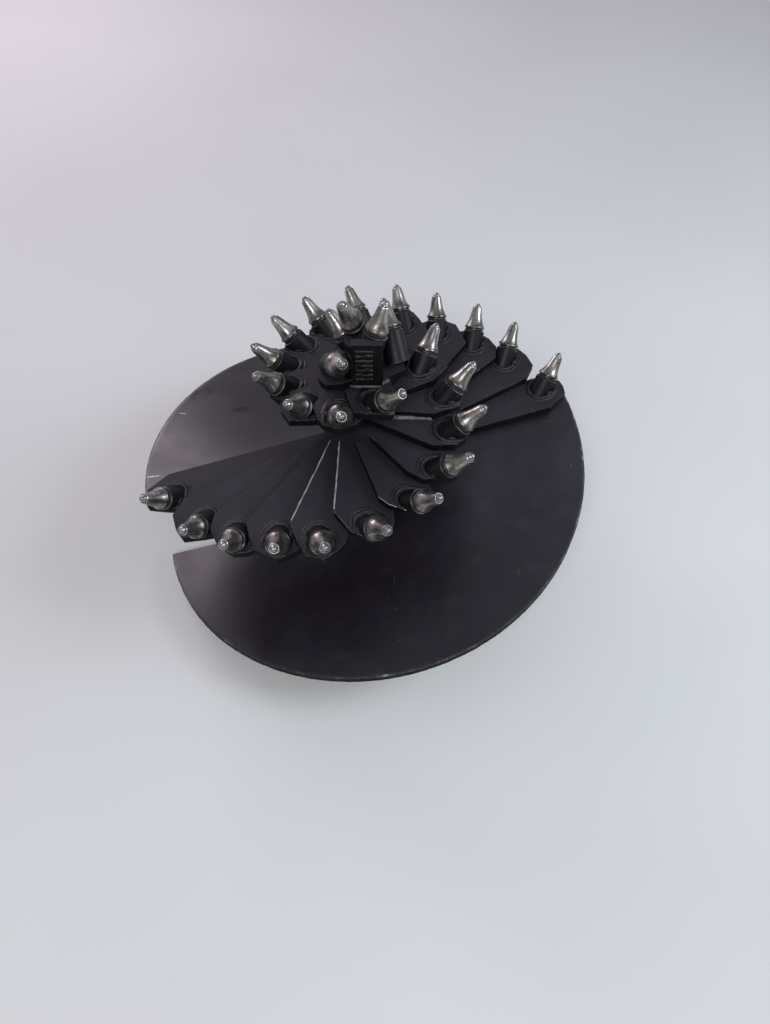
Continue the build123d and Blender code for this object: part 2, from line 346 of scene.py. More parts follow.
def forged_steel(name):
    """Bare forged steel of a pick's head: brownish at the flange, brighter to the tip."""
    material, tree, shader = new_material(name)
    along = height_along(tree)
    streak = noise_field(tree, 80.0, detail=5.0, roughness=0.6, stretch=(1.0, 1.0, 0.16))
    patch = noise_field(tree, 62.0, detail=6.0, roughness=0.65)
    colour = ramp(tree, streak, FORGED)
    scale = spread(tree, patch, 0.46, 0.62, 0.0, 0.85)
    colour = mix_colour(tree, scale, colour, MILL_SCALE)
    # Darker towards the flange.
    low = multiply(tree, spread(tree, along, -0.001, 0.006, 0.85, 0.0),
                   spread(tree, streak, 0.3, 0.6, 1.0, 0.5))
    colour = mix_colour(tree, low, colour, FLANGE_DARK)
    tip = multiply(tree, spread(tree, along, 0.026, 0.040, 0.0, 0.8),
                   spread(tree, patch, 0.40, 0.60, 1.0, 0.2))
    colour = mix_colour(tree, tip, colour, BRIGHT_TIP)
    tree.links.new(colour, shader.inputs["Base Color"])
    shader.inputs["Metallic"].default_value = 0.95
    tree.links.new(spread(tree, patch, 0.32, 0.68, 0.24, 0.42), shader.inputs["Roughness"])
    rings = noise_field(tree, 340.0, detail=2.0, stretch=(0.06, 0.06, 1.0))
    bump(tree, shader, [(rings, 0.10, 0.0003), (streak, 0.16, 0.0006),
                        (noise_field(tree, 110.0), 0.16, 0.0007)])
    return material


def carbide(name):
    """Hard metal button in the pick's tip, dull grey with a ground sheen."""
    material, tree, shader = new_material(name)
    colour = ramp(tree, noise_field(tree, 260.0, detail=4.0), CARBIDE)
    tree.links.new(colour, shader.inputs["Base Color"])
    shader.inputs["Metallic"].default_value = 0.85
    tree.links.new(spread(tree, noise_field(tree, 240.0), 0.3, 0.7, 0.22, 0.38),
                   shader.inputs["Roughness"])
    bump(tree, shader, [(noise_field(tree, 500.0), 0.15, 0.0003)])
    return material


def floor_paint(name):
    """Plain pale floor with a trace of unevenness."""
    material, tree, shader = new_material(name)
    tree.links.new(ramp(tree, noise_field(tree, 1.2), FLOOR), shader.inputs["Base Color"])
    shader.inputs["Roughness"].default_value = 0.85
    return material


# The plates' paint is lighter than the flights' paint: painted light that makes up for the shade
# the heads cast among the plates.
PLATE_PAINT_LIT = black_paint("plate_paint_lit", (0.0185, 0.0168, 0.0220), (0.0290, 0.0266, 0.0338),
                    0.38, 0.54, shine=0.20, grime=0.15)
FLIGHT_PAINT = black_paint("flight_paint", (0.0088, 0.0062, 0.0108), (0.0200, 0.0158, 0.0238),
                           0.30, 0.45, mark_list=FLIGHT_MARKS)
# The holders' paint is far darker than the plates' paint: painted shade for the sleeves in
# shadow under the heads.
HOLDER_PAINT_SHADED = black_paint("holder_paint_shaded", (0.0026, 0.0028, 0.0040), (0.0085, 0.0092, 0.0125),
                           0.40, 0.55, shine=0.24)
EDGE = worn_edge("worn_edge", 0.50)
# The ground edge is worn mostly to bare steel and made pale: real wear, and a painted glint
# along the pale steps' edges and the broad ground bevels.
WORN_GLINT_EDGE = worn_edge("ground_edge_glint", 0.20)
SHADED_CUT = shaded_flame_cut("shaded_flame_cut")
WELD = weld_metal("weld_painted", (0.005, 0.005, 0.006), (0.019, 0.018, 0.021), 0.40,
                  shine=0.40)
RIDGE_WELD = weld_metal("weld_hard", (0.0022, 0.0020, 0.0026), (0.0080, 0.0072, 0.0088),
                        0.42, shine=0.20)
# The weld under the pad is paler than the paint.
PAD_FOOT_WELD = weld_metal("weld_pale", (0.028, 0.028, 0.034), (0.075, 0.075, 0.088), 0.40)
# The bare weld is coloured pale grey: a painted highlight of light grazing along the riser's
# foot, over bare weld metal.
BARE_WELD_HIGHLIGHT = weld_metal("weld_bare_highlight", (0.060, 0.058, 0.063), (0.165, 0.160, 0.172), 0.38)
# The ground seams are coloured pale: a painted glint along the pale steps' back edges, over the
# ground weld's own bright metal.
GLINT_SEAM = weld_metal("weld_ground_glint", (0.10, 0.095, 0.105), (0.36, 0.345, 0.37), 0.36)
HEAD = forged_steel("pick_head")
BUTTON = carbide("pick_button")
WASHER = black_paint("pick_washer", (0.012, 0.012, 0.013), (0.05, 0.048, 0.045), 0.3, 0.5)


# Mesh helpers

# Angles, in degrees, up to which a surface is shaded smooth.
SMOOTH_PLATE = 30
SMOOTH_FLIGHT = 35
SMOOTH_PICK = 38
SMOOTH_HOLDER = 40
SMOOTH_WELD = 60


def finish_mesh(name, bm, materials, smooth_angle):
    """Turn a bmesh into a mesh with its materials, smooth up to an angle."""
    mesh = bpy.data.meshes.new(name)
    bm.to_mesh(mesh)
    bm.free()
    for material in materials:
        mesh.materials.append(material)
    mesh.shade_smooth()
    mesh.set_sharp_from_angle(angle=math.radians(smooth_angle))
    return mesh


def add_object(name, data):
    """A new object in the scene."""
    piece = bpy.data.objects.new(name, data)
    bpy.context.scene.collection.objects.link(piece)
    return piece


def keep_piece(piece, body=ROOT, replaces=()):
    """Give a piece its body and the CAD nodes that it stands for."""
    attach(piece, body)
    if replaces:
        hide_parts(*replaces)


def turned_into(bm, profile, sides, closed=False):
    """Turn a profile of (radius, height, material) in mm about Z into a bmesh."""
    rings = []
    for radius, height, _ in profile:
        ring = []
        if radius == 0.0:
            ring.append(bm.verts.new((0, 0, height * MM)))
        else:
            for side in range(sides):
                turn = 2 * math.pi * side / sides
                ring.append(bm.verts.new((radius * MM * math.cos(turn),
                                          radius * MM * math.sin(turn), height * MM)))
        rings.append(ring)
    pairs = list(zip(rings, rings[1:] + rings[:1]))
    for index, (lower, upper) in enumerate(pairs if closed else pairs[:-1]):
        for side in range(sides):
            after = (side + 1) % sides
            if len(lower) == 1:
                corners = (lower[0], upper[after], upper[side])
            elif len(upper) == 1:
                corners = (lower[side], lower[after], upper[0])
            else:
                corners = (lower[side], lower[after], upper[after], upper[side])
            bm.faces.new(corners).material_index = profile[index][2]
    return [vert for ring in rings for vert in ring]


def add_quad(bm, corners, slot, flip=False):
    """A four-sided face with its material slot, turned over if asked."""
    bm.faces.new(reversed(corners) if flip else corners).material_index = slot


# Step plates and the pilot bar

BEVEL_WIDTH = 1.3 * MM
BEVEL_FROM = math.radians(35)
# Steps whose upper back edges are ground broad and bright near their outer end: the edges
# that start and end beyond these shares of the step's reach, from the shortest one on.
# Their broad bevel takes the pale ground edge: bare steel with a painted glint.
GROUND_STEPS = ("step_07",)
GROUND_REACH = 0.234
GROUND_NEAR = 0.6
GROUND_FAR = 0.8
GROUND_SHORTEST = 14 * MM
GROUND_BEVEL = 4.5 * MM
# Steps whose edge is worn to a pale line, the paleness a painted glint as well as wear.
PALE_STEPS = ("step_05", "step_06")
PALE_BEVEL = 1.9 * MM
# Limits of a normal: Z of an upright face, of a level one and of one that is painted as a
# plate's face, and how far a riser looks clockwise.
UPRIGHT = 0.3
LEVEL = 0.9
PAINTED = 0.5
CLOCKWISE = -0.35
# Points this close are one, and faces within this angle are one flat face.
MERGE_WITHIN = 0.01 * MM
FLAT_WITHIN = math.radians(0.4)
# Material slots of a plate or a flight.
FACE_SLOT, EDGE_SLOT, CUT_SLOT, GROUND_SLOT = range(4)


def plate_mesh(node):
    """The CAD node's mesh with its triangles joined into flat faces."""
    bm = bmesh.new()
    bm.from_mesh(frame["nodes"][node].data)
    bmesh.ops.remove_doubles(bm, verts=bm.verts, dist=MERGE_WITHIN)
    bmesh.ops.dissolve_limit(bm, angle_limit=FLAT_WITHIN, verts=bm.verts, edges=bm.edges)
    return bm


def behind_edges(bm, shortest):
    """Upper edges of a step that look clockwise, the way its risers face."""
    found = []
    for edge in bm.edges:
        if edge.calc_length() < shortest or len(edge.link_faces) != 2:
            continue
        upright = [face for face in edge.link_faces if abs(face.normal.z) < UPRIGHT]
        level = [face for face in edge.link_faces if face.normal.z > LEVEL]
        if not upright or not level:
            continue
        middle = (edge.verts[0].co + edge.verts[1].co) / 2
        around = Vector((-middle.y, middle.x, 0)).normalized()
        if upright[0].normal.dot(around) < CLOCKWISE:
            found.append(edge)
    return found


def grind_edges(bm):
    """Bevel a step's upper back edges broadly, near its outer end."""
    outer = []
    for edge in behind_edges(bm, GROUND_SHORTEST):
        near, far = sorted(vert.co.xy.length for vert in edge.verts)
        if near > GROUND_NEAR * GROUND_REACH and far > GROUND_FAR * GROUND_REACH:
            outer.append(edge)
    bmesh.ops.bevel(bm, geom=outer, offset=GROUND_BEVEL, segments=1, profile=0.5,
                    affect="EDGES", material=GROUND_SLOT, clamp_overlap=True)


def break_edges(piece, width):
    """Bevel a plate's sharp edges and bake the result into its mesh."""
    bevel = piece.modifiers.new("edges", "BEVEL")
    bevel.width = width
    bevel.segments = 2
    bevel.limit_method = "ANGLE"
    bevel.angle_limit = BEVEL_FROM
    bevel.material = EDGE_SLOT
    bevel.use_clamp_overlap = True
    graph = bpy.context.evaluated_depsgraph_get()
    baked = bpy.data.meshes.new_from_object(piece.evaluated_get(graph))
    piece.modifiers.clear()
    piece.data = baked
    for polygon in baked.polygons:
        polygon.use_smooth = polygon.material_index == EDGE_SLOT


def dress_plate(node):
    """A copy of a CAD plate with its flame-cut edges broken and worn."""
    bm = plate_mesh(node)
    for face in bm.faces:
        face.material_index = FACE_SLOT if abs(face.normal.z) > PAINTED else CUT_SLOT
    if node in GROUND_STEPS:
        grind_edges(bm)
    pale = node in PALE_STEPS
    materials = [PLATE_PAINT_LIT, WORN_GLINT_EDGE if pale else EDGE, SHADED_CUT, WORN_GLINT_EDGE]
    name = f"{node}_dressed"
    piece = add_object(name, finish_mesh(name, bm, materials, SMOOTH_PLATE))
    break_edges(piece, PALE_BEVEL if pale else BEVEL_WIDTH)
    keep_piece(piece, replaces=(node,))


# Picks: profile points are (radius, height above the flange) in mm, with the slot in
# PICK_MATERIALS of the band that starts at each.

PICK_MATERIALS = (HEAD, BUTTON, WASHER)
PICK_PROFILE = [
    (0.0, -50.0, 2), (10.0, -50.0, 2), (10.0, -6.5, 2), (16.6, -6.5, 2), (17.5, -5.6, 2),
    (17.5, -3.9, 2), (16.6, -3.0, 2), (15.0, -3.0, 2), (15.0, -2.0, 0), (18.2, -2.0, 0),
    (19.0, -1.2, 0), (19.0, 0.9, 0), (18.5, 1.8, 0), (17.4, 3.4, 0), (16.0, 5.8, 0),
    (14.7, 8.8, 0), (13.5, 12.4, 0), (12.5, 16.2, 0), (11.7, 20.0, 0), (11.0, 23.8, 0),
    (10.4, 27.4, 0), (9.8, 30.8, 0), (9.2, 33.8, 0), (8.7, 36.2, 0), (8.3, 37.6, 0),
    (7.6, 38.2, 0), (7.1, 38.2, 0), (6.8, 37.9, 2), (6.5, 37.9, 1), (6.4, 39.2, 1),
    (5.8, 40.6, 1), (4.7, 41.8, 1), (4.1, 42.9, 1), (3.1, 44.1, 1), (1.6, 44.85, 1),
    (0.0, 45.0, 1),
]
PICK_SIDES = 48
# Range, in radians, of the turns at which the picks happen to stand.
PICK_TURNS = (0, 6)


def make_picks():
    """A finished pick in each CAD pick's place, on its own body."""
    bm = bmesh.new()
    turned_into(bm, PICK_PROFILE, PICK_SIDES)
    mesh = finish_mesh("pick", bm, PICK_MATERIALS, SMOOTH_PICK)
    for tooth in TEETH:
        piece = add_object(f"bullet_{tooth.key}", mesh)
        turn = Matrix.Rotation(random.uniform(*PICK_TURNS), 4, "Z")
        piece.matrix_world = tooth.matrix() @ turn
        keep_piece(piece, body=tooth.node, replaces=(tooth.node,))


# Holders: bored sleeves with a chamfered mouth, with points as those of the picks and the
# slot in HOLDER_MATERIALS. Front and rear are how far behind the flange a sleeve's ends lie.

HOLDER_MATERIALS = (HOLDER_PAINT_SHADED, EDGE)
HOLDER_PROFILE = [
    (10.05, -58.8, 0), (19.4, -58.8, 1), (20.0, -58.2, 0), (20.0, -8.8, 1), (18.4, -6.9, 1),
    (18.0, -6.8, 0), (10.05, -6.8, 0),
]
HOLDER_SIDES = 48
HOLDER_RADIUS = max(radius for radius, _, _ in HOLDER_PROFILE) * MM
HOLDER_FRONT = -max(height for _, height, _ in HOLDER_PROFILE) * MM
HOLDER_REAR = -min(height for _, height, _ in HOLDER_PROFILE) * MM


def make_holders():
    """All the sleeves of each group, in one piece in place of their CAD node."""
    for node, group in HOLDER_GROUPS.items():
        bm = bmesh.new()
        for tooth in teeth_of(group):
            verts = turned_into(bm, HOLDER_PROFILE, HOLDER_SIDES, closed=True)
            bmesh.ops.transform(bm, matrix=tooth.matrix(), verts=verts)
        name = f"{node}_dressed"
        piece = add_object(name, finish_mesh(name, bm, HOLDER_MATERIALS, SMOOTH_HOLDER))
        keep_piece(piece, replaces=(node,))


# Flights

FLIGHT_RADIUS = 0.400
FLIGHT_PITCH = 0.400
FLIGHT_SPAN = math.radians(184)
FLIGHT_RISE = FLIGHT_PITCH * FLIGHT_SPAN / (2 * math.pi)
FLIGHT_PLATE = 14 * MM
FLIGHT_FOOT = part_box("flight_a")[0].z
# How far behind the first tooth of its start a flight ends, under that tooth's plate.
FLIGHT_LAG = math.radians(3)
FIRST_TOOTH = teeth_of("a01")[0]
FLIGHT_START = FIRST_TOOTH.angle - FLIGHT_LAG - FLIGHT_SPAN
# The CAD nodes of the flights, and how far each is turned from flight a.
FLIGHT_TURNS = {"flight_a": 0.0, "flight_b": math.pi}
FLIGHT_MATERIALS = (FLIGHT_PAINT, EDGE, SHADED_CUT)
FLIGHT_SEGMENTS = 360
# Shares of the way from the pipe to the rim at which a flight has its rows of points.
RADIAL_SHARES = [0.0, 0.12, 0.25, 0.38, 0.5, 0.6, 0.7, 0.78, 0.85, 0.91, 0.95, 0.975, 0.99, 1.0]
# The rim: share from which it is notched, greatest depth of a notch, the noise's rate along
# the flight for fine and coarse notches, and how far its two corners are worn down.
RIM_FROM = 0.98
RIM_NOTCH = 1.6 * MM
RIM_FINE = 260
RIM_COARSE = 70
RIM_DROP = 0.9 * MM
# The plate's waviness, and its noise's rate.
PLATE_WAVE = 0.6 * MM
WAVE_RATE = 5


def rim_roughness(share):
    """How deep the flame cut bites at a share of the rim's length, from 0 to 1."""
    fine = noise.noise(Vector((share * RIM_FINE, 1.7, FLIGHT_FOOT * 9)))
    coarse = noise.noise(Vector((share * RIM_COARSE, 5.1, FLIGHT_FOOT * 9)))
    return 0.5 + 0.5 * (fine * 0.5 + coarse * 0.5)


def make_flight(node, start_angle):
    """A screw plate with a rough flame-cut rim."""
    bm = bmesh.new()
    top_rows, low_rows = [], []
    for step in range(FLIGHT_SEGMENTS + 1):
        share = step / FLIGHT_SEGMENTS
        angle = start_angle + FLIGHT_SPAN * share
        notch = RIM_NOTCH * rim_roughness(share)
        top, low = [], []
        for part in RADIAL_SHARES:
            radius = PIPE_RADIUS + (FLIGHT_RADIUS - PIPE_RADIUS) * part
            if part > RIM_FROM:
                radius -= notch
            at = Vector((radius * math.cos(angle), radius * math.sin(angle), 0))
            field = noise.noise(at * WAVE_RATE + Vector((0, 0, 3 + FLIGHT_FOOT)))
            drop = RIM_DROP if part == 1.0 else 0.0
            height = FLIGHT_FOOT + FLIGHT_RISE * share + field * PLATE_WAVE
            top.append(bm.verts.new((at.x, at.y, height + FLIGHT_PLATE - drop)))
            low.append(bm.verts.new((at.x, at.y, height + drop)))
        top_rows.append(top)
        low_rows.append(low)
    last = len(RADIAL_SHARES) - 1
    for row in range(FLIGHT_SEGMENTS):
        for column in range(last):
            slot = EDGE_SLOT if column == last - 1 else FACE_SLOT
            for rows, flip in ((top_rows, False), (low_rows, True)):
                add_quad(bm, [rows[row][column], rows[row][column + 1],
                              rows[row + 1][column + 1], rows[row + 1][column]], slot, flip)
        for column, flip in ((last, False), (0, True)):
            add_quad(bm, [low_rows[row][column], low_rows[row + 1][column],
                          top_rows[row + 1][column], top_rows[row][column]], CUT_SLOT, flip)
    for row, flip in ((0, False), (FLIGHT_SEGMENTS, True)):
        for column in range(last):
            add_quad(bm, [low_rows[row][column], low_rows[row][column + 1],
                          top_rows[row][column + 1], top_rows[row][column]], CUT_SLOT, flip)
    name = node.replace("flight_", "flight_plate_")
    piece = add_object(name, finish_mesh(name, bm, FLIGHT_MATERIALS, SMOOTH_FLIGHT))
    keep_piece(piece, replaces=(node,))


# Weld beads

BEAD_SIDES = 8
RIPPLE_PITCH = 3.2 * MM
# What the ripples add to a bead's radius, in turn, as shares of it.
RIPPLE_HIGH = 0.06
RIPPLE_LOW = -0.05
# How much a bead's radius drifts and its path wanders, as such shares, and the noise's rate
# along the bead for each.
BEAD_DRIFT = 0.40
DRIFT_RATE = 0.17
BEAD_WANDER = 0.50
WANDER_RATE = 0.09
# A bead's height as a share of its width.
BEAD_HEIGHT = 0.85
# A bead's radius at its ends, and what each ring adds from there until it is full.
BEAD_END = 0.35
BEAD_GROWTH = 0.22
# Fewest points that make a bead.
SHORTEST_RUN = 4
# Share of the spacing over which a polyline's last point is kept as well.
LAST_GAP = 0.3
# A pick's head, and the room round it: along its axis and off its surface.
HEAD_LENGTH = max(height for _, height, _ in PICK_PROFILE) * MM
HEAD_ROOM = 5.0 * MM
HEAD_CLEARANCE = 1.0 * MM
# A surface is looked for from this far over a point, and for this distance: any metal, and
# the step under a riser's foot.
METAL_ABOVE = 3 * MM
METAL_REACH = 13 * MM
FOOT_ABOVE = 0.5 * MM
FOOT_REACH = 4 * MM


def search_tree(nodes):
    """One search tree of some CAD nodes."""
    verts, faces = [], []
    for node in nodes:
        mesh = frame["nodes"][node].data
        base = len(verts)
        verts.extend(vert.co.copy() for vert in mesh.vertices)
        faces.extend([base + index for index in polygon.vertices] for polygon in mesh.polygons)
    return BVHTree.FromPolygons(verts, faces)


STEP_TREE = search_tree(STEPS)
METAL_TREE = search_tree(STEPS + ["pilot_bar"])


def surface_below(tree, at, above, reach):
    """Whether a search tree has a surface close under a point."""
    return tree.ray_cast(at + UP * above, -UP, reach)[0] is not None


def resample(points, spacing):
    """Points evenly spaced along a polyline."""
    out = [points[0].copy()]
    left = spacing
    for start, end in zip(points, points[1:]):
        length = (end - start).length
        travelled = 0.0
        while length - travelled >= left:
            travelled += left
            out.append(start.lerp(end, travelled / length))
            left = spacing
        left -= length - travelled
    if (out[-1] - points[-1]).length > spacing * LAST_GAP:
        out.append(points[-1].copy())
    return out


def bead_into(bm, points, radius, seed):
    """Add a rippled weld bead along a polyline to a bmesh."""
    path = resample(points, RIPPLE_PITCH / 2)
    if len(path) < SHORTEST_RUN:
        return
    last = len(path) - 1
    rings = []
    for index, at in enumerate(path):
        along = (path[min(index + 1, last)] - path[max(index - 1, 0)]).normalized()
        side = along.cross(UP)
        side = side.normalized() if side.length > 1e-4 else Vector((1, 0, 0))
        up = side.cross(along).normalized()
        pulse = 1.0 + (RIPPLE_HIGH if index % 2 else RIPPLE_LOW)
        drift = 1.0 + BEAD_DRIFT * noise.noise(Vector((index * DRIFT_RATE, seed, 0.5)))
        ends = min(1.0, BEAD_END + min(index, last - index) * BEAD_GROWTH)
        size = radius * pulse * drift * ends
        stray = BEAD_WANDER * noise.noise(Vector((index * WANDER_RATE, seed, 9.5)))
        middle = at + side * radius * stray
        ring = []
        for corner in range(BEAD_SIDES):
            turn = 2 * math.pi * corner / BEAD_SIDES
            offset = side * math.cos(turn) * size + up * math.sin(turn) * size * BEAD_HEIGHT
            ring.append(bm.verts.new(middle + offset))
        rings.append(ring)
    for first, second in zip(rings, rings[1:]):
        for corner in range(BEAD_SIDES):
            after = (corner + 1) % BEAD_SIDES
            bm.faces.new((first[corner], first[after], second[after], second[corner]))
    bm.faces.new(reversed(rings[0]))
    bm.faces.new(rings[-1])


def head_radius(along):
    """Radius that a pick needs at a height above its flange."""
    reach = [radius for radius, height, _ in PICK_PROFILE
             if radius > 0 and along - HEAD_ROOM < height * MM < along + HEAD_ROOM]
    return max(reach, default=0.0) * MM


def clear_of_picks(at, radius):
    """Whether a bead here stays off every pick's head and washer."""
    for tooth in TEETH:
        along = (at - tooth.flange).dot(tooth.aim)
        if -HOLDER_FRONT - radius < along < HEAD_LENGTH + HEAD_ROOM:
            away = (at - tooth.flange - tooth.aim * along).length
            if away < head_radius(along) + radius + HEAD_CLEARANCE:
                return False
    return True


def over_metal(at):
    """Whether a plate or the pilot bar lies close under a point."""
    return surface_below(METAL_TREE, at, METAL_ABOVE, METAL_REACH)


def clear_runs(points, radius, seated=False):
    """The stretches of a path that are clear of the picks and, if asked, over metal."""
    runs, run = [], []
    for at in points:
        if clear_of_picks(at, radius) and (over_metal(at) or not seated):
            run.append(at)
        else:
            runs.append(run)
            run = []
    runs.append(run)
    return [run for run in runs if len(run) >= SHORTEST_RUN]


def keep_weld(name, bm, material):
    """Turn a bmesh of beads into a piece of the auger."""
    piece = add_object(name, finish_mesh(name, bm, [material], SMOOTH_WELD))
    keep_piece(piece)


# Welds round the holders

# Passes of the weld: lift over the plate, distance off the holder's wall, radius of the
# bead, and how far round from the back it runs, in degrees.
HOLDER_PASSES = [
    (-1.5 * MM, 7.6 * MM, 3.2 * MM, 116),
    (0.2 * MM, 4.0 * MM, 3.4 * MM, 108),
    (2.6 * MM, 1.2 * MM, 3.2 * MM, 84),
]
# Degrees between a pass's points, and how far behind the holder's mouth it has to stay.
PASS_STEP = 3
MOUTH_MARGIN = 1.5 * MM
# Height of the pilot bar's top over the last step.
BAR_RISE = 66.6 * MM
# Weld drops: how far behind the flange their middle lies, their number and reach, how far
# they stay off a pick, their radii in mm, and their height as a share of their width.
SPATTER_BACK = 5 * HOLDER_FRONT
SPATTER_COUNT = 5
SPATTER_REACH = 34 * MM
SPATTER_CLEARANCE = 2 * MM
SPATTER_RADII = (0.5, 1.4)
SPATTER_HEIGHT = 0.6


def holder_path(tooth, top, lift, off, reach):
    """Where a holder comes out of the plate, as a path round its back."""
    low = tooth.aim.cross(UP).cross(tooth.aim).normalized()
    side = tooth.aim.cross(low)
    path = []
    for degree in range(-reach, reach + 1, PASS_STEP):
        turn = math.radians(degree)
        wall = low * math.cos(turn) + side * math.sin(turn)
        along = (top + lift - tooth.flange.z
                 - (HOLDER_RADIUS + off) * wall.z) / tooth.aim.z
        if -HOLDER_REAR < along < -HOLDER_FRONT - MOUTH_MARGIN:
            path.append(tooth.flange + tooth.aim * along + wall * (HOLDER_RADIUS + off))
    return path


def seat_height(tooth):
    """Height of the surface that a tooth's holder comes out of."""
    if tooth.key.startswith("pilot"):
        return LAST_STEP_TOP + BAR_RISE
    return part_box(f"step_{tooth.key[1:]}")[1].z


def spatter_into(bm, at, seed):
    """Small weld drops on a level surface round a point."""
    draw = random.Random(seed)
    for _ in range(SPATTER_COUNT):
        angle = draw.uniform(0, 2 * math.pi)
        away = SPATTER_REACH * math.sqrt(draw.random())
        place = at + Vector((math.cos(angle), math.sin(angle), 0)) * away
        if not clear_of_picks(place, SPATTER_CLEARANCE) or not over_metal(place):
            continue
        drop = bmesh.ops.create_icosphere(bm, subdivisions=1,
                                          radius=draw.uniform(*SPATTER_RADII) * MM)["verts"]
        flat = Matrix.Translation(place) @ Matrix.Diagonal((1, 1, SPATTER_HEIGHT, 1))
        bmesh.ops.transform(bm, matrix=flat, verts=drop)


def make_holder_welds():
    """Weld passes round the holders, one piece for each start and one for the pilot."""
    for group in HOLDER_GROUPS.values():
        bm = bmesh.new()
        for tooth in teeth_of(group):
            top = seat_height(tooth)
            for number, (lift, off, radius, reach) in enumerate(HOLDER_PASSES):
                path = holder_path(tooth, top, lift, off, reach)
                for run in clear_runs(path, radius, seated=True):
                    bead_into(bm, run, radius, tooth.number * 3.1 + number)
            back = tooth.flange - tooth.aim * SPATTER_BACK
            spatter_into(bm, Vector((back.x, back.y, top)), tooth.number)
        keep_weld(f"holder_welds_{group}", bm, WELD)


# Hard facing on the pilot bar's pad, and the weld under it

# The CAD's pilot bar and pad: half the bar's width, and the pad's depth and height.
BAR_HALF = 29.0 * MM
PAD_DEPTH = 14.0 * MM
PAD_HEIGHT = 83.0 * MM
# The ridges, and the number of parts in a ridge's path.
RIDGE_COUNT = 7
RIDGE_PITCH = 9.4 * MM
RIDGE_RADIUS = 4.2 * MM
RIDGE_PARTS = 24
# Where the ridges start and end across the pad, and how far their ends scatter, in mm.
RIDGE_LEFT = -13.0 * MM
RIDGE_RIGHT = 15.0 * MM
LEFT_SCATTER = (-2.5, 2.5)
RIGHT_SCATTER = (-5.0, 3.0)
# How far a ridge stands off the pad's face.
RIDGE_PROUD = 1.0 * MM
# How far the ridges stray up and down and in and out, and the noise's rate for each.
RIDGE_SAG = 4.5 * MM
SAG_RATE = 75
RIDGE_WAVE = 2.4 * MM
RIDGE_RATE = 60
# Weld under the pad's front edge and on along the last step's riser: (x, y) in mm, and how
# far its middle lies below the step's top.
PAD_WELD = [(-23.0, -40.5), (24.5, -40.5), (30.0, -32.5), (40.0, -26.0)]
PAD_WELD_DROP = 3.2 * MM
# Radius of the bead there and along a riser's foot.
FOOT_BEAD = 4.6 * MM


def make_pilot_ridges():
    """Horizontal weld passes over the ridges of the pilot bar's pad."""
    bm = bmesh.new()
    middle = LAST_STEP_TOP + PAD_HEIGHT / 2
    for row in range(RIDGE_COUNT):
        height = middle + (row - (RIDGE_COUNT - 1) / 2) * RIDGE_PITCH
        left = RIDGE_LEFT + random.uniform(*LEFT_SCATTER) * MM
        right = RIDGE_RIGHT + random.uniform(*RIGHT_SCATTER) * MM
        line = []
        for part in range(RIDGE_PARTS + 1):
            across = left + (right - left) * part / RIDGE_PARTS
            sag = RIDGE_SAG * noise.noise(Vector((across * SAG_RATE, row * 1.7, 5.0)))
            wave = RIDGE_WAVE * noise.noise(Vector((across * RIDGE_RATE, row * 2.9, 7.0)))
            line.append(Vector((across, -BAR_HALF - PAD_DEPTH + RIDGE_PROUD + wave,
                                height + sag)))
        for run in clear_runs(line, RIDGE_RADIUS):
            bead_into(bm, run, RIDGE_RADIUS, row * 2.3)
    keep_weld("pilot_ridges", bm, RIDGE_WELD)


def make_pad_weld():
    """Weld under the foot of the pad."""
    bm = bmesh.new()
    corners = [Vector((x * MM, y * MM, LAST_STEP_TOP - PAD_WELD_DROP)) for x, y in PAD_WELD]
    for run in clear_runs(resample(corners, RIPPLE_PITCH / 2), FOOT_BEAD):
        bead_into(bm, run, FOOT_BEAD, 4.4)
    keep_weld("pad_weld", bm, PAD_FOOT_WELD)


# Welds along the steps' edges and the flights

# Shortest back edge that counts as long, and how far from the pipe it may start.
LONG_EDGE = 26 * MM
PIPE_MARGIN = 5 * MM
# The foot weld's pale colour is a painted highlight of light grazing along the riser.
# The riser with a pale weld along its foot, how far along it the bead starts and ends, and
# where its middle lies from the foot.
FOOT_STEP = "step_10"
FOOT_FROM = 0.22
FOOT_TO = 0.97
FOOT_PARTS = 40
FOOT_OUT = 1.2 * MM
FOOT_LIFT = 0.8 * MM
# The ground seams: radius of the bead, and share of the edge that it follows.
SEAM_BEAD = 1.3 * MM
SEAM_TO = 0.97
SEAM_PARTS = 80
# The flights' welds: radius, distance off the pipe, how far they stand off the plate, and
# which parts of the flight's length they follow, a little short of both its ends.
FLIGHT_BEAD = 3.6 * MM
FLIGHT_WELD_OUT = 1.6 * MM
FLIGHT_WELD_LIFT = 0.6 * MM
FLIGHT_WELD_PARTS = 180
FLIGHT_WELD_RUN = range(2, FLIGHT_WELD_PARTS - 3)


def long_edges(plate):
    """A step's back edges that start at the pipe, from the inner end to the outer end."""
    found = []
    for edge in behind_edges(plate, LONG_EDGE):
        start, end = sorted((vert.co for vert in edge.verts), key=lambda at: at.xy.length)
        if start.xy.length < PIPE_RADIUS + PIPE_MARGIN:
            found.append((edge, start, end))
    return found


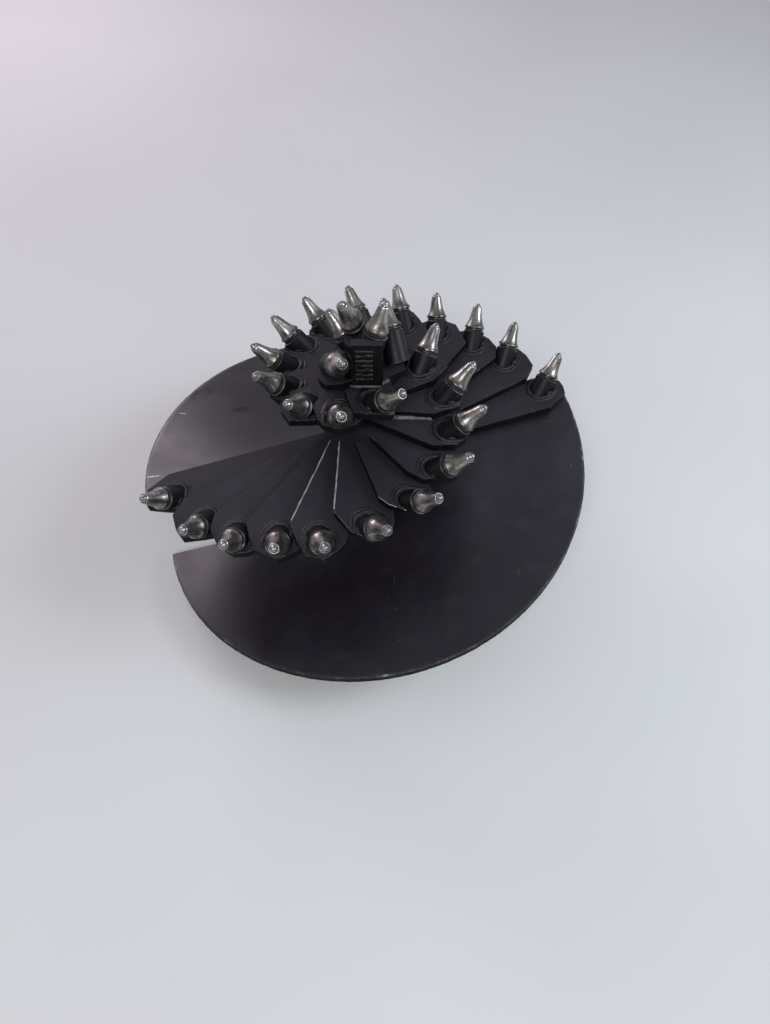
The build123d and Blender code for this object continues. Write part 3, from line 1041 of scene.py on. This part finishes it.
# The bead is coloured pale, a painted highlight of the light grazing along the riser's foot.
def make_foot_welds():
    """Weld along the foot of one riser in each start, where the photograph shows it pale."""
    bm = bmesh.new()
    plate = plate_mesh(FOOT_STEP)
    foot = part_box(FOOT_STEP)[0].z
    for edge, start, end in long_edges(plate):
        out = [face.normal for face in edge.link_faces if abs(face.normal.z) < UPRIGHT][0]
        line = []
        for part in range(FOOT_PARTS + 1):
            at = start.lerp(end, FOOT_FROM + (FOOT_TO - FOOT_FROM) * part / FOOT_PARTS)
            at = Vector((at.x, at.y, foot)) + out * FOOT_OUT
            if surface_below(STEP_TREE, at, FOOT_ABOVE, FOOT_REACH):
                line.append(at + UP * FOOT_LIFT)
        for run in clear_runs(line, FOOT_BEAD):
            bead_into(bm, run, FOOT_BEAD, start.x * 9)
    plate.free()
    keep_weld("foot_welds", bm, BARE_WELD_HIGHLIGHT)


def make_seams():
    """Ground weld lines along the upper back edges of the pale steps, coloured pale as a painted
    glint.
    """
    bm = bmesh.new()
    for number, node in enumerate(PALE_STEPS):
        plate = plate_mesh(node)
        for _, start, end in long_edges(plate):
            line = [start.lerp(end, SEAM_TO * part / SEAM_PARTS)
                    for part in range(SEAM_PARTS + 1)]
            for run in clear_runs(line, SEAM_BEAD):
                bead_into(bm, run, SEAM_BEAD, number * 2.7 + start.x * 9)
        plate.free()
    keep_weld("ground_seams", bm, GLINT_SEAM)


def make_flight_welds():
    """Welds between the flights and the pipe, above and below each flight."""
    bm = bmesh.new()
    radius = PIPE_RADIUS + FLIGHT_WELD_OUT
    for start, turn in enumerate(FLIGHT_TURNS.values()):
        for side, height in enumerate((-FLIGHT_WELD_LIFT, FLIGHT_PLATE + FLIGHT_WELD_LIFT)):
            line = []
            for part in FLIGHT_WELD_RUN:
                share = part / FLIGHT_WELD_PARTS
                angle = FLIGHT_START + turn + FLIGHT_SPAN * share
                line.append(Vector((radius * math.cos(angle), radius * math.sin(angle),
                                    FLIGHT_FOOT + FLIGHT_RISE * share + height)))
            bead_into(bm, line, FLIGHT_BEAD, 40 + start * 2 + side)
    keep_weld("flight_welds", bm, WELD)


# Camera, from a fit to the pallet boards and the teeth, for a frame of 770 x 1024. The focal
# length is in pixels and the sensor in millimetres.

CAMERA_AT = (0.0304, -0.8588, 1.2501)
CAMERA_FORWARD = (0.0022, 0.5698, -0.8218)
CAMERA_RIGHT = (1.0, 0.0006, 0.0032)
FOCAL_PIXELS = 730.0
FRAME_LONG_SIDE = 1024.0
SENSOR = 36.0
NEAREST = 0.01
FARTHEST = 100.0


def camera():
    """Camera at the photograph's viewpoint."""
    data = bpy.data.cameras.new("camera")
    data.sensor_width = SENSOR
    data.lens = FOCAL_PIXELS / FRAME_LONG_SIDE * SENSOR
    data.clip_start = NEAREST
    data.clip_end = FARTHEST
    piece = add_object("camera", data)
    forward = Vector(CAMERA_FORWARD).normalized()
    right = Vector(CAMERA_RIGHT)
    right = (right - forward * right.dot(forward)).normalized()
    up = right.cross(forward)
    turn = Matrix((right, up, -forward)).transposed().to_4x4()
    piece.matrix_world = Matrix.Translation(CAMERA_AT) @ turn
    bpy.context.scene.camera = piece


# Studio

# Half the floor's width.
FLOOR_REACH = 40.0
# The sky's colour from the horizon up, and its strength: as the direction's Y goes from the
# first number to the second, it goes from the third to the fourth.
SKY = [(0.0, (0.44, 0.43, 0.45)), (0.48, (0.46, 0.45, 0.48)),
       (0.80, (0.44, 0.44, 0.48)), (1.0, (0.34, 0.35, 0.41))]
SKY_STRENGTH = (-0.7, 0.3, 0.55, 1.0)
# The auger's middle, at which the lamps aim.
LIT_POINT = (0, 0, 0.25)
# Lamps: name, place, width and height, power in watts, colour.
LAMPS = [
    ("key", (-2.1, 2.8, 1.9), (2.0, 1.0), 46.0, (1.0, 0.84, 0.97)),
    ("side", (2.7, -0.3, 2.2), (1.3, 1.3), 56.0, (0.78, 0.90, 1.0)),
    ("front", (-0.4, -2.4, 3.0), (1.6, 1.2), 62.0, (0.97, 0.99, 1.0)),
]


def area_light(name, at, size, power, colour):
    """A soft box aimed at the auger's middle."""
    data = bpy.data.lights.new(name, "AREA")
    data.shape = "RECTANGLE"
    data.size, data.size_y = size
    data.energy = power
    data.color = colour
    piece = add_object(name, data)
    towards = (Vector(LIT_POINT) - Vector(at)).normalized()
    turn = towards.to_track_quat("-Z", "Y").to_matrix().to_4x4()
    piece.matrix_world = Matrix.Translation(at) @ turn


def studio():
    """Pale floor, pale surroundings and soft light."""
    bm = bmesh.new()
    bmesh.ops.create_grid(bm, x_segments=8, y_segments=8, size=FLOOR_REACH)
    floor = add_object("floor", finish_mesh("floor", bm, [floor_paint("floor_paint")],
                                            SMOOTH_PLATE))
    world = bpy.data.worlds.new("studio")
    bpy.context.scene.world = world
    world.use_nodes = True
    tree = world.node_tree
    place = tree.nodes.new("ShaderNodeTexCoord")
    split = tree.nodes.new("ShaderNodeSeparateXYZ")
    tree.links.new(place.outputs["Generated"], split.inputs["Vector"])
    background = tree.nodes["Background"]
    tree.links.new(ramp(tree, split.outputs["Z"], SKY), background.inputs["Color"])
    tree.links.new(spread(tree, split.outputs["Y"], *SKY_STRENGTH),
                   background.inputs["Strength"])
    for lamp in LAMPS:
        area_light(*lamp)
    bpy.context.scene.view_settings.view_transform = "Standard"


camera()
studio()
make_picks()
make_holders()
for flight_node, flight_turn in FLIGHT_TURNS.items():
    make_flight(flight_node, FLIGHT_START + flight_turn)
for plate_node in STEPS + ["pilot_bar"]:
    dress_plate(plate_node)
make_holder_welds()
make_pilot_ridges()
make_foot_welds()
make_pad_weld()
make_seams()
make_flight_welds()
for hub_node in HUB_NODES:
    frame["nodes"][hub_node].data.materials.clear()
    frame["nodes"][hub_node].data.materials.append(PLATE_PAINT_LIT)
